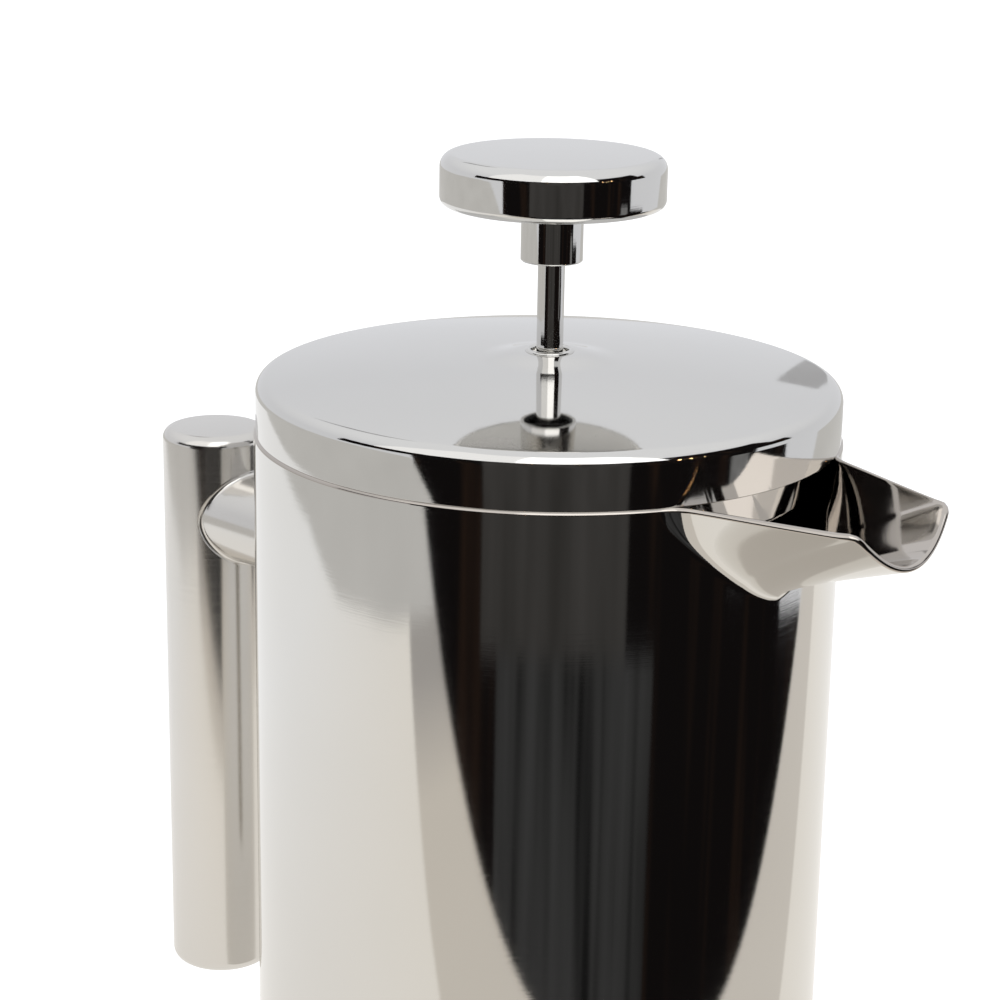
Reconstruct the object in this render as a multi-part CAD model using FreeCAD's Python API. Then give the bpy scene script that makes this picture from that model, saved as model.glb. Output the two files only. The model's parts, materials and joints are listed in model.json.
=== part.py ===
import FreeCAD, Part

import math
import os

# French press: a double-wall steel pot with a pulled spout and a tube handle, a loose lid, and a
# plunger that ends in a stack of filter plates. Millimetres, +Z up, origin at the centre of the
# pot's underside, spout towards +X, handle towards -X.

V = FreeCAD.Vector
UP = V(0, 0, 1)

# Pot
POT_R = 55.0
SKIN = 0.6
AIR_GAP = 3.8
RIM_Z = 170.75
BAND_Z = 140.0
BOTTOM_ROUND = 4.0
VESSEL_FLOOR_Z = 10.0
BASE_T = 1.0
BASE_GROOVE_R = 38.0
BASE_GROOVE_W = 3.0
BASE_GROOVE_DEPTH = 0.3

# Spout
SPOUT_REACH = 83.0
SPOUT_ROOT_DEG = 24.5
SPOUT_BLEND_DEG = 29.0
SPOUT_BLEND_DEPTH = 20.0
SPOUT_BLEND_POWER = 1.5
SPOUT_HEEL = 0.35
MOUTH_CORNER = (80.4, 13.9)
MOUTH_CORNER_DROP = 0.4
MOUTH_DIP = 7.6
EDGE_SOFTNESS = 3.0
GAP_CLOSES = (0.2, 0.6)
DIP_WIDTH = 1.0
DIP_SOFTNESS = 0.12

# How finely the pot's drawn wall is fitted
SECTORS = ((-90, 90), (90, 270))
TURN_STEP = 2
ROWS = 28
LIP_STEPS = 8

# Handle
HANDLE_X = -96.0
HANDLE_R = 11.2
HANDLE_WALL = 1.0
HANDLE_Z = (29.0, 152.7)
CAP_T = 3.0
CAP_ROUND = 2.4
CAP_SPIGOT = 5.0
ARM_R = 9.5
ARM_WALL = 1.0
ARM_Z = 134.5

# Lid
LID_R = 54.6
LID_EDGE_Z = 181.0
LID_EDGE_R = 52.0
LID_CROWN_H = 3.9
LID_T = 0.8
LID_ROUND = 2.5
HEM_ROUND = 0.2
BOSS_R = (5.6, 13.5)
BOSS_H = 1.0
BOSS_SHARPNESS = 0.8
LID_SEAT_CLEAR = 0.05
LID_POINTS = 40
GUIDE_R = 3.9
GUIDE_RING_R = 4.6
GUIDE_RING_H = 0.5
GUIDE_MOUTH_R = 3.5
GUIDE_MOUTH_DEPTH = 1.8
GUIDE_BOTTOM_Z = 160.5
LINER_R = 51.2
LINER_T = 0.6
LINER_BOTTOM_Z = 162.0
LINER_ROUND = 2.0
LINER_CLEAR = 0.02

# Plunger rod and knob
ROD_R = 2.5
THREAD_R = 2.0
RUNNING = 0.06
ROD_SHOULDER_Z = (20.4, 212.3)
ROD_END_Z = (12.0, 220.0)
KNOB_R = 20.8
KNOB_Z = (213.1, 222.6)
KNOB_T = 0.8
KNOB_ROUND = 2.5
KNOB_FOOT_ROUND = 1.6
KNOB_BASE_INSET = 0.1
KNOB_BASE_T = 0.8
KNOB_BASE_HOLE_R = 2.6
INSERT_R = 7.0
INSERT_CLEAR = 0.9
FERRULE_R = 5.75
FERRULE_T = 0.8
FERRULE_Z = (202.8, 213.2)
FERRULE_EDGE = 0.35
ROD_CHAMFER = 0.4

# Filter
PLATE_T = 0.8
SCREEN_T = 0.4
CROSS_PLATE_Z = 11.0
CROSS_PLATE_R = 46.0
CROSS_RING_W = 5.0
CROSS_CENTRE_R = 13.0
CROSS_WINDOWS = 4
CROSS_ARM_DEG = 16.0
CROSS_CORNER_R = 2.5
HUB_R = 4.0
HUB_FLANGE_R = 6.5
HUB_FLANGE_T = 0.6
HUB_TOP_Z = 19.4
SCREEN_R = (47.0, 48.0)
SCREEN_RIM = (49.5, 17.5)
SPIRAL_R = 44.6
SPIRAL_TOP_Z = 17.5
SPIRAL_HOLE_RINGS = ((21.0, 10), (29.0, 15), (37.0, 20))
SPIRAL_HOLE_R = 2.4
COIL_R = 46.55
COIL_SECTION_R = 1.65
COIL_Z = 15.0
WASHER_R = 16.0
WASHER_T = 0.8
WASHER_FLAT_R = 6.0
WASHER_FOOT_R = 13.5


class Outline:
    """A profile in the (radius, height) plane, drawn edge by edge."""

    def __init__(self, r, z):
        self.first = V(r, 0, z)
        self.last = self.first
        self.edges = []

    def line(self, r, z):
        end = V(r, 0, z)
        self.edges.append(Part.LineSegment(self.last, end).toShape())
        self.last = end
        return self

    def arc(self, centre, radius, start_deg, end_deg):
        """An arc about centre; it starts where the outline stands."""
        mid, end = [
            V(centre[0] + radius * math.cos(a), 0, centre[1] + radius * math.sin(a))
            for a in (math.radians((start_deg + end_deg) / 2), math.radians(end_deg))
        ]
        self.edges.append(Part.Arc(self.last, mid, end).toShape())
        self.last = end
        return self

    def curve(self, points):
        """A smooth curve through points, the first of which is where the outline stands."""
        spline = Part.BSplineCurve()
        spline.interpolate([V(r, 0, z) for r, z in points])
        self.edges.append(spline.toShape())
        self.last = V(points[-1][0], 0, points[-1][1])
        return self

    def wire(self):
        return Part.Wire(self.edges)

    def solid(self):
        """The closed outline turned about the Z axis."""
        if self.last.distanceToPoint(self.first) > 1e-6:
            self.line(self.first.x, self.first.z)
        return Part.Face(self.wire()).revolve(V(0, 0, 0), UP, 360)


def tube(r_out, r_in, z0, z1):
    outer = Part.makeCylinder(r_out, z1 - z0, V(0, 0, z0))
    return outer.cut(Part.makeCylinder(r_in, z1 - z0, V(0, 0, z0)))


def smooth_step(x):
    x = min(max(x, 0.0), 1.0)
    return x * x * (3 - 2 * x)


def soft_min(a, b, width):
    overlap = max(width - abs(a - b), 0.0) / width
    return min(a, b) - overlap * overlap * width / 4


def soft_start(x, heel):
    """0 to 1 over x from 0 to 1: flat at first, then almost straight."""
    x = min(max(x, 0.0), 1.0)
    return x * x / (x + heel) * (1 + heel)


# --- Pot wall with the spout -------------------------------------------------------------------


def edge_radius(deg):
    """Plan radius of the pot's top edge: the rim's circle, drawn out into the spout."""
    root_x = POT_R * math.cos(math.radians(SPOUT_ROOT_DEG))
    root_y = POT_R * math.sin(math.radians(SPOUT_ROOT_DEG))
    corner_x, corner_y = MOUTH_CORNER
    facing = math.atan2(corner_x - root_x, root_y - corner_y)
    reach = root_x * math.cos(facing) + root_y * math.sin(facing)
    side = reach / math.cos(math.radians(abs(deg)) - facing)
    corner_deg = math.degrees(math.atan2(corner_y, corner_x))
    corner_back = SPOUT_REACH - math.hypot(corner_x, corner_y)
    mouth = SPOUT_REACH - corner_back * (deg / corner_deg) ** 2
    drawn = soft_min(side, mouth, EDGE_SOFTNESS)
    return -soft_min(-drawn, -POT_R, EDGE_SOFTNESS)


def edge_height(deg):
    """Height of the top edge: it falls along the spout and dips in a U at the mouth."""
    corner_deg = math.degrees(math.atan2(MOUTH_CORNER[1], MOUTH_CORNER[0]))
    fall = smooth_step((SPOUT_ROOT_DEG - abs(deg)) / (SPOUT_ROOT_DEG - corner_deg))
    inside = max(1 - (deg / (DIP_WIDTH * corner_deg)) ** 2, 0.0)
    dip = soft_start(inside, DIP_SOFTNESS)
    return RIM_Z - SKIN - MOUTH_CORNER_DROP * fall - MOUTH_DIP * dip


def heel_height(deg):
    """Height at which the spout starts to leave the round body."""
    share = min(abs(deg) / SPOUT_BLEND_DEG, 1.0)
    return RIM_Z - SKIN - SPOUT_BLEND_DEPTH * (1 - share**SPOUT_BLEND_POWER)


def wall_point(deg, v):
    """Outer face of the pot at an angle and a share v of the way from BAND_Z to the edge."""
    top = edge_height(deg)
    heel = heel_height(deg)
    z = BAND_Z + v * (top - BAND_Z)
    drawn = soft_start((z - heel) / max(top - heel, 1e-3), SPOUT_HEEL)
    r = POT_R + (edge_radius(deg) - POT_R) * drawn
    a = math.radians(deg)
    return V(r * math.cos(a), r * math.sin(a), z)


def wall_frame(deg, v):
    """Point, outward normal and upward tangent of the outer face."""
    turn_step = 0.02
    rise_step = 1e-4
    v_low, v_high = max(v - rise_step, 0.0), min(v + rise_step, 1.0)
    along = wall_point(deg + turn_step, v) - wall_point(deg - turn_step, v)
    rise = wall_point(deg, v_high) - wall_point(deg, v_low)
    normal = along.cross(rise)
    normal.normalize()
    rise.normalize()
    return wall_point(deg, v), normal, rise


def gap_at(v):
    """Space between the two skins; it closes towards the top edge."""
    first, last = GAP_CLOSES
    return AIR_GAP * (1 - smooth_step((v - first) / (last - first)))


def skin_point(deg, v, depth):
    point, normal, _ = wall_frame(deg, v)
    return point - normal * depth


def angles(sector):
    start, end = sector
    return range(start, end + 1, TURN_STEP)


def wrapped(deg):
    return deg - 360 if deg > 180 else deg


def fitted(points, parameters):
    """A smooth curve through points at given parameters."""
    curve = Part.BSplineCurve()
    curve.interpolate(Points=points, Parameters=parameters)
    return curve


def patch(grid):
    """A face through a grid of points: columns go round the pot, each from bottom to top."""
    heights = [float(i) for i in range(len(grid[0]))]
    turns = [math.radians(i) for i in range(len(grid))]
    columns = [fitted(points, heights) for points in grid]
    rows = []
    for j in range(columns[0].NbPoles):
        points = [column.getPole(j + 1) for column in columns]
        rows.append(fitted(points, turns))
    poles = [list(line) for line in zip(*[row.getPoles() for row in rows])]
    surface = Part.BSplineSurface()
    surface.buildFromPolesMultsKnots(
        poles,
        rows[0].getMultiplicities(),
        columns[0].getMultiplicities(),
        rows[0].getKnots(),
        columns[0].getKnots(),
        False,
        False,
        rows[0].Degree,
        columns[0].Degree,
    )
    return surface.toShape()


def band_faces(depth_at):
    """The band above BAND_Z at a depth under the outer face, as a front and a back face."""
    faces = []
    for sector in SECTORS:
        grid = []
        for deg in angles(sector):
            rows = [i / ROWS for i in range(ROWS + 1)]
            grid.append([skin_point(wrapped(deg), v, depth_at(v)) for v in rows])
        faces.append(patch(grid))
    return faces


def edge_faces(depth_a, depth_b):
    """The narrow face across the skin's end, between two depths."""
    faces = []
    for sector in SECTORS:
        grid = []
        for deg in angles(sector):
            ends = [skin_point(wrapped(deg), 1.0, d) for d in (depth_a, depth_b)]
            middle = (ends[0] + ends[1]) * 0.5
            grid.append([ends[0], middle, ends[1]])
        faces.append(patch(grid))
    return faces


def lip_faces():
    """The rounded lip that caps both skins."""
    faces = []
    for sector in SECTORS:
        grid = []
        for deg in angles(sector):
            point, normal, rise = wall_frame(wrapped(deg), 1.0)
            centre = point - normal * SKIN
            row = []
            for i in range(LIP_STEPS + 1):
                a = math.pi * i / LIP_STEPS
                row.append(centre + (normal * math.cos(a) + rise * math.sin(a)) * SKIN)
            grid.append(row)
        faces.append(patch(grid))
    return faces


def half_turns(outline):
    """The outline's wire turned into a front and a back half."""
    faces = []
    for start in (-90, 90):
        wire = outline.wire()
        wire.rotate(V(0, 0, 0), UP, start)
        faces += wire.revolve(V(0, 0, 0), UP, 180).Faces
    return faces


def sewn(faces):
    shell = Part.Compound(faces)
    shell.sewShape()
    solid = Part.makeSolid(shell.Shells[0])
    if solid.Volume < 0:
        solid.reverse()
    return solid


def outer_shell():
    r = POT_R - BOTTOM_ROUND
    lower = Outline(POT_R - SKIN, BAND_Z)
    lower.line(POT_R - SKIN, BOTTOM_ROUND)
    lower.arc((r, BOTTOM_ROUND), BOTTOM_ROUND - SKIN, 0, -90)
    lower.line(r, 0)
    lower.arc((r, BOTTOM_ROUND), BOTTOM_ROUND, -90, 0)
    lower.line(POT_R, BAND_Z)
    faces = half_turns(lower)
    faces += band_faces(lambda v: 0.0)
    faces += band_faces(lambda v: SKIN)
    faces += edge_faces(0.0, SKIN)
    return sewn(faces)


def inner_vessel():
    r_in = POT_R - 2 * SKIN - AIR_GAP
    r_turn = r_in - BOTTOM_ROUND
    z_turn = VESSEL_FLOOR_Z + BOTTOM_ROUND
    outside = Outline(r_in + SKIN, BAND_Z)
    outside.line(r_in + SKIN, z_turn)
    outside.arc((r_turn, z_turn), BOTTOM_ROUND + SKIN, 0, -90)
    outside.line(0, VESSEL_FLOOR_Z - SKIN)
    inside = Outline(0, VESSEL_FLOOR_Z)
    inside.line(r_turn, VESSEL_FLOOR_Z)
    inside.arc((r_turn, z_turn), BOTTOM_ROUND, -90, 0)
    inside.line(r_in, BAND_Z)
    faces = half_turns(outside) + half_turns(inside)
    faces += band_faces(lambda v: SKIN + gap_at(v))
    faces += band_faces(lambda v: 2 * SKIN + gap_at(v))
    faces += edge_faces(0.0, SKIN)
    faces += lip_faces()
    return sewn(faces)


def base_plate():
    """The disc that closes the pot's underside, with a stamped ring."""
    disc = Part.makeCylinder(POT_R - BOTTOM_ROUND, BASE_T)
    r = BASE_GROOVE_R
    return disc.cut(tube(r + BASE_GROOVE_W, r, 0, BASE_GROOVE_DEPTH))


# --- Handle ------------------------------------------------------------------------------------


def handle_tube():
    z0, z1 = HANDLE_Z
    body = tube(HANDLE_R, HANDLE_R - HANDLE_WALL, z0 + CAP_T, z1 - CAP_T)
    body.translate(V(HANDLE_X, 0, 0))
    return body


def handle_cap(top):
    """A rounded disc on the tube's end, with a spigot inside it; drawn upwards, then turned."""
    r = HANDLE_R
    spigot_r = HANDLE_R - HANDLE_WALL
    cap = Outline(0, -CAP_SPIGOT)
    cap.line(spigot_r, -CAP_SPIGOT).line(spigot_r, 0).line(r, 0).line(r, CAP_T - CAP_ROUND)
    cap.arc((r - CAP_ROUND, CAP_T - CAP_ROUND), CAP_ROUND, 0, 90)
    cap.line(0, CAP_T)
    body = cap.solid()
    if top:
        body.translate(V(HANDLE_X, 0, HANDLE_Z[1] - CAP_T))
    else:
        body.rotate(V(0, 0, 0), V(1, 0, 0), 180)
        body.translate(V(HANDLE_X, 0, HANDLE_Z[0] + CAP_T))
    return body


def handle_arm():
    """The short tube that carries the handle, its ends cut to the round walls they meet."""
    start = V(HANDLE_X, 0, ARM_Z)
    arm = Part.makeCylinder(ARM_R, -HANDLE_X, start, V(1, 0, 0))
    arm = arm.cut(Part.makeCylinder(ARM_R - ARM_WALL, -HANDLE_X, start, V(1, 0, 0)))
    arm = arm.cut(Part.makeCylinder(POT_R, RIM_Z))
    return arm.cut(Part.makeCylinder(HANDLE_R, RIM_Z, V(HANDLE_X, 0, 0)))


# --- Lid ---------------------------------------------------------------------------------------


def crown_z(r):
    """Height of the lid's domed top at a radius."""
    return LID_EDGE_Z + LID_CROWN_H * (1 - (r / LID_EDGE_R) ** 2)


def lid_z(r):
    """Height of the lid's top with the raised boss in its middle."""
    share = min(max((r - BOSS_R[0]) / (BOSS_R[1] - BOSS_R[0]), 0.0), 1.0)
    return crown_z(r) + BOSS_H * (1 + math.cos(math.pi * share**BOSS_SHARPNESS)) / 2


def lid_slope(r):
    """Angle by which the lid's top falls outwards at a radius, in degrees."""
    step = 0.01
    return math.degrees(math.atan((lid_z(r - step) - lid_z(r + step)) / (2 * step)))


def lid_curve(r_end, depth):
    """Points along the lid at a depth under its top, from the boss out to r_end."""
    points = []
    for i in range(LID_POINTS + 1):
        r = BOSS_R[0] + (r_end - BOSS_R[0]) * i / LID_POINTS
        fall = math.radians(lid_slope(r)) if i else 0.0
        points.append((r - depth * math.sin(fall), lid_z(r) - depth * math.cos(fall)))
    return points


def lid_cover():
    r_in = LID_R - LID_T
    start_deg = 90 - lid_slope(LID_R - LID_ROUND)
    lean = math.radians(start_deg)
    r_end = LID_R - LID_ROUND + LID_ROUND * math.cos(lean)
    turn = (LID_R - LID_ROUND, lid_z(r_end) - LID_ROUND * math.sin(lean))
    hem_z = RIM_Z + LID_SEAT_CLEAR
    hem = (LID_R - HEM_ROUND, hem_z + HEM_ROUND)
    top_side = lid_curve(r_end, 0)
    under_side = list(reversed(lid_curve(r_end, LID_T)))
    cover = Outline(GUIDE_R, top_side[0][1])
    cover.line(*top_side[0]).curve(top_side).arc(turn, LID_ROUND, start_deg, 0)
    cover.line(LID_R, hem[1]).arc(hem, HEM_ROUND, 0, -90)
    cover.line(r_in - HEM_ROUND, hem_z).line(r_in - HEM_ROUND, hem_z + LID_T)
    cover.line(r_in, hem[1] + LID_T).line(r_in, turn[1])
    cover.arc(turn, LID_ROUND - LID_T, 0, start_deg).line(*under_side[0]).curve(under_side)
    cover.line(GUIDE_R, under_side[-1][1])
    return cover.solid()


def lid_liner():
    """The cup under the lid that centres it in the pot's mouth."""
    z_top = crown_z(LINER_R) - LID_T - LINER_CLEAR
    z0 = LINER_BOTTOM_Z
    turn = (LINER_R - LINER_ROUND, z0 + LINER_ROUND)
    cup = Outline(GUIDE_R, z0)
    cup.line(turn[0], z0).arc(turn, LINER_ROUND, -90, 0).line(LINER_R, z_top)
    cup.line(LINER_R - LINER_T, z_top).line(LINER_R - LINER_T, turn[1])
    cup.arc(turn, LINER_ROUND - LINER_T, 0, -90).line(GUIDE_R, z0 + LINER_T)
    return cup.solid()


def lid_rod_guide():
    """The bush that guides the rod, with a round ring showing on the lid."""
    bore = ROD_R + RUNNING
    ring_z = lid_z(BOSS_R[0])
    top = ring_z + GUIDE_RING_H
    width = (GUIDE_RING_R - GUIDE_MOUTH_R) / 2
    crown = (GUIDE_MOUTH_R + width, top - width)
    guide = Outline(bore, GUIDE_BOTTOM_Z)
    guide.line(GUIDE_R, GUIDE_BOTTOM_Z).line(GUIDE_R, ring_z).line(GUIDE_RING_R, ring_z)
    guide.line(GUIDE_RING_R, top - width).arc(crown, width, 0, 180)
    guide.line(GUIDE_MOUTH_R, top - GUIDE_MOUTH_DEPTH)
    guide.line(bore, top - GUIDE_MOUTH_DEPTH - (GUIDE_MOUTH_R - bore))
    return guide.solid()


# --- Plunger -----------------------------------------------------------------------------------


def plunger_rod():
    """The rod: a thread at each end, shown as a plain core, and a shoulder above each."""
    low, high = ROD_SHOULDER_Z
    end_low, end_high = ROD_END_Z
    rod = Outline(0, end_low)
    rod.line(THREAD_R - ROD_CHAMFER, end_low).line(THREAD_R, end_low + ROD_CHAMFER)
    rod.line(THREAD_R, low).line(ROD_R, low).line(ROD_R, high).line(THREAD_R, high)
    rod.line(THREAD_R, end_high - ROD_CHAMFER).line(THREAD_R - ROD_CHAMFER, end_high).line(0, end_high)
    return rod.solid()


def knob_cap():
    """The drawn cup of the knob, its foot rolled inwards around the base plate."""
    z0, z1 = KNOB_Z
    turn = (KNOB_R - KNOB_ROUND, z1 - KNOB_ROUND)
    foot = (KNOB_R - KNOB_FOOT_ROUND, z0 + KNOB_FOOT_ROUND)
    cap = Outline(0, z1)
    cap.line(turn[0], z1).arc(turn, KNOB_ROUND, 90, 0)
    cap.line(KNOB_R, foot[1]).arc(foot, KNOB_FOOT_ROUND, 0, -90)
    cap.line(foot[0], z0 + KNOB_T).arc(foot, KNOB_FOOT_ROUND - KNOB_T, -90, 0)
    cap.line(KNOB_R - KNOB_T, turn[1]).arc(turn, KNOB_ROUND - KNOB_T, 0, 90)
    cap.line(0, z1 - KNOB_T)
    return cap.solid()


def knob_base_plate():
    z0 = KNOB_Z[0] + KNOB_BASE_INSET
    return tube(KNOB_R - KNOB_FOOT_ROUND, KNOB_BASE_HOLE_R, z0, z0 + KNOB_BASE_T)


def knob_insert():
    """The threaded boss inside the knob."""
    z0 = KNOB_Z[0] + KNOB_BASE_INSET + KNOB_BASE_T
    z1 = KNOB_Z[1] - KNOB_T
    boss = Part.makeCylinder(INSERT_R, z1 - z0, V(0, 0, z0))
    bore = Part.makeCylinder(THREAD_R + RUNNING, z1 - z0 - INSERT_CLEAR, V(0, 0, z0))
    return boss.cut(bore)


def knob_ferrule():
    """The cup under the knob, open downwards around the rod."""
    z0, z1 = FERRULE_Z
    floor_z = ROD_SHOULDER_Z[1]
    r_in = FERRULE_R - FERRULE_T
    edge = FERRULE_EDGE
    cup = Outline(r_in + edge, z0)
    cup.line(FERRULE_R - edge, z0).arc((FERRULE_R - edge, z0 + edge), edge, -90, 0)
    cup.line(FERRULE_R, z1).line(THREAD_R + RUNNING, z1)
    cup.line(THREAD_R + RUNNING, floor_z).line(r_in, floor_z).line(r_in, z0 + edge)
    cup.arc((r_in + edge, z0 + edge), edge, 180, 270)
    return cup.solid()


# --- Filter ------------------------------------------------------------------------------------


def upright_edges(shape):
    nearly_upright = 0.99
    return [e for e in shape.Edges if abs(e.tangentAt(e.FirstParameter).z) > nearly_upright]


def cross_plate():
    """The bottom plate: a ring and a centre joined by arms."""
    z0, z1 = CROSS_PLATE_Z, CROSS_PLATE_Z + PLATE_T
    plate = tube(CROSS_PLATE_R, HUB_R, z0, z1)
    window = tube(CROSS_PLATE_R - CROSS_RING_W, CROSS_CENTRE_R, z0, z1)
    pitch = 360 / CROSS_WINDOWS
    for i in range(CROSS_WINDOWS):
        wedge = Part.makeCylinder(CROSS_PLATE_R, PLATE_T, V(0, 0, z0), UP, pitch - CROSS_ARM_DEG)
        wedge.rotate(V(0, 0, 0), UP, i * pitch + CROSS_ARM_DEG / 2)
        opening = window.common(wedge)
        plate = plate.cut(opening.makeFillet(CROSS_CORNER_R, upright_edges(opening)))
    return plate


def cross_plate_hub():
    """The threaded hub that the rod screws into."""
    low = CROSS_PLATE_Z - HUB_FLANGE_T
    bore = THREAD_R + RUNNING
    hub = Outline(bore, low)
    hub.line(HUB_FLANGE_R, low).line(HUB_FLANGE_R, CROSS_PLATE_Z).line(HUB_R, CROSS_PLATE_Z)
    hub.line(HUB_R, HUB_TOP_Z).line(bore, HUB_TOP_Z)
    return hub.solid()


def screen_base(level):
    return CROSS_PLATE_Z + PLATE_T + level * SCREEN_T


def mesh_screen_lower():
    z0 = screen_base(0)
    return tube(SCREEN_R[0], HUB_R, z0, z0 + SCREEN_T)


def mesh_screen_upper():
    """The upper screen, its edge turned up towards the vessel's wall."""
    z0 = screen_base(1)
    rim_r, rim_z = SCREEN_RIM
    screen = Outline(HUB_R, z0)
    screen.line(SCREEN_R[1], z0).line(rim_r, rim_z).line(rim_r - SCREEN_T, rim_z)
    screen.line(SCREEN_R[1] - SCREEN_T, z0 + SCREEN_T).line(HUB_R, z0 + SCREEN_T)
    return screen.solid()


def spiral_plate():
    """The pierced plate whose turned-up rim holds the coil spring."""
    z0 = screen_base(2)
    dish = Outline(HUB_R, z0)
    dish.line(SPIRAL_R, z0).line(SPIRAL_R, SPIRAL_TOP_Z)
    dish.line(SPIRAL_R - PLATE_T, SPIRAL_TOP_Z).line(SPIRAL_R - PLATE_T, z0 + PLATE_T)
    dish.line(HUB_R, z0 + PLATE_T)
    holes = []
    for ring_r, count in SPIRAL_HOLE_RINGS:
        for i in range(count):
            a = 2 * math.pi * i / count
            spot = V(ring_r * math.cos(a), ring_r * math.sin(a), z0)
            holes.append(Part.makeCylinder(SPIRAL_HOLE_R, PLATE_T, spot))
    return dish.solid().cut(holes)


def filter_coil_spring():
    """The closely wound spring round the spiral plate, as the ring it fills."""
    return Part.makeTorus(COIL_R, COIL_SECTION_R, V(0, 0, COIL_Z))


def clamp_washer():
    """The domed washer that the rod's shoulder presses on the filter."""
    z_foot = screen_base(2) + PLATE_T
    z_top = ROD_SHOULDER_Z[0]
    bore = THREAD_R + RUNNING
    dome = Outline(bore, z_top)
    dome.line(WASHER_FLAT_R, z_top).line(WASHER_FOOT_R, z_foot + WASHER_T)
    dome.line(WASHER_R, z_foot + WASHER_T).line(WASHER_R, z_foot)
    dome.line(WASHER_FOOT_R - WASHER_T / 2, z_foot)
    dome.line(WASHER_FLAT_R - WASHER_T / 2, z_top - WASHER_T).line(bore, z_top - WASHER_T)
    return dome.solid()


NODES = {
    "outer_shell": outer_shell,
    "inner_vessel": inner_vessel,
    "base_plate": base_plate,
    "handle_tube": handle_tube,
    "handle_top_cap": lambda: handle_cap(True),
    "handle_bottom_cap": lambda: handle_cap(False),
    "handle_arm": handle_arm,
    "lid_cover": lid_cover,
    "lid_liner": lid_liner,
    "lid_rod_guide": lid_rod_guide,
    "plunger_rod": plunger_rod,
    "knob_cap": knob_cap,
    "knob_base_plate": knob_base_plate,
    "knob_insert": knob_insert,
    "knob_ferrule": knob_ferrule,
    "cross_plate": cross_plate,
    "cross_plate_hub": cross_plate_hub,
    "mesh_screen_lower": mesh_screen_lower,
    "mesh_screen_upper": mesh_screen_upper,
    "spiral_plate": spiral_plate,
    "filter_coil_spring": filter_coil_spring,
    "clamp_washer": clamp_washer,
}

os.makedirs("parts", exist_ok=True)
for node, make in NODES.items():
    shape = make()
    solids = shape.Solids
    state = "valid" if shape.isValid() else "NOT VALID"
    print(f"{node}: {len(solids)} solid, {shape.Volume:.0f} mm3, {state}")
    shape.exportStep(f"parts/{node}.step")
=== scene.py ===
import json
import math

import bmesh
import bpy
from mathutils import Matrix, Vector


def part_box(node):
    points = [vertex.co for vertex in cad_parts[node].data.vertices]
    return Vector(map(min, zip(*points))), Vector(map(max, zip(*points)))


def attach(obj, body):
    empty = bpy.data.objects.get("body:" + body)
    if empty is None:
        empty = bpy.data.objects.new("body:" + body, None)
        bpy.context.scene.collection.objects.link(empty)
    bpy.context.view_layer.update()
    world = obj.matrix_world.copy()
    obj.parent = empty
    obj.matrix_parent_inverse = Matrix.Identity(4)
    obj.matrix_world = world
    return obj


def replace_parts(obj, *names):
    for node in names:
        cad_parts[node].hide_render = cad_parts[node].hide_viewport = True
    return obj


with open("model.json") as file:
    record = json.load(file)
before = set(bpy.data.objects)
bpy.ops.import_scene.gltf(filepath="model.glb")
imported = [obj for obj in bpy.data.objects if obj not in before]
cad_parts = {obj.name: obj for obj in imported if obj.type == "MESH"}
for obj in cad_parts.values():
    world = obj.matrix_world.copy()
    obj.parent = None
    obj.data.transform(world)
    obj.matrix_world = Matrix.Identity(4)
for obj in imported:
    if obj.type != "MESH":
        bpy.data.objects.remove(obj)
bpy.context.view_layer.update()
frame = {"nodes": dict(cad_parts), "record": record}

# Looks of the french press: mirror-polished and brushed steel, woven screens and a wound spring.
# It stands on a white floor in a light studio with a dark side in front of the spout. Metres.

MM = 0.001

# --- Materials -----------------------------------------------------------------------------------


class Nodes:
    """A short way to write a material's node tree."""

    def __init__(self, name):
        self.material = bpy.data.materials.new(name)
        self.material.use_nodes = True
        self.tree = self.material.node_tree
        self.tree.nodes.clear()
        self.shader = self.add("ShaderNodeBsdfPrincipled")
        output = self.add("ShaderNodeOutputMaterial")
        self.link(self.shader.outputs["BSDF"], output.inputs["Surface"])

    def add(self, kind, **settings):
        node = self.tree.nodes.new(kind)
        for name, value in settings.items():
            setattr(node, name, value)
        return node

    def link(self, source, target):
        self.tree.links.new(source, target)

    def put(self, name, value):
        self.shader.inputs[name].default_value = value

    def place(self, stretch=(1, 1, 1)):
        """The object's own coordinates, stretched along its axes."""
        mapping = self.add("ShaderNodeMapping")
        mapping.inputs["Scale"].default_value = stretch
        self.link(self.add("ShaderNodeTexCoord").outputs["Object"], mapping.inputs["Vector"])
        return mapping.outputs["Vector"]

    def noise(self, stretch, scale, detail, roughness=0.5):
        texture = self.add("ShaderNodeTexNoise")
        texture.inputs["Scale"].default_value = scale
        texture.inputs["Detail"].default_value = detail
        texture.inputs["Roughness"].default_value = roughness
        self.link(self.place(stretch), texture.inputs["Vector"])
        return texture.outputs["Fac"]

    def ramp(self, source, stops):
        """Colours along a 0 to 1 value."""
        node = self.add("ShaderNodeValToRGB")
        elements = node.color_ramp.elements
        elements[0].position, elements[0].color = stops[0]
        elements[1].position, elements[1].color = stops[-1]
        for position, colour in stops[1:-1]:
            elements.new(position).color = colour
        self.link(source, node.inputs["Fac"])
        return node.outputs["Color"]

    def spread(self, source, low, high, start=0.3, end=0.7):
        """The stretch start..end of a value, brought to low..high."""
        node = self.add("ShaderNodeMapRange")
        for name, value in zip(("From Min", "From Max", "To Min", "To Max"), (start, end, low, high)):
            node.inputs[name].default_value = value
        self.link(source, node.inputs["Value"])
        return node.outputs["Result"]

    def bump(self, height, strength, distance, normal=None):
        node = self.add("ShaderNodeBump")
        node.inputs["Strength"].default_value = strength
        node.inputs["Distance"].default_value = distance
        self.link(height, node.inputs["Height"])
        if normal is not None:
            self.link(normal, node.inputs["Normal"])
        return node.outputs["Normal"]


def tint(red, green, blue):
    return (red, green, blue, 1.0)


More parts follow.
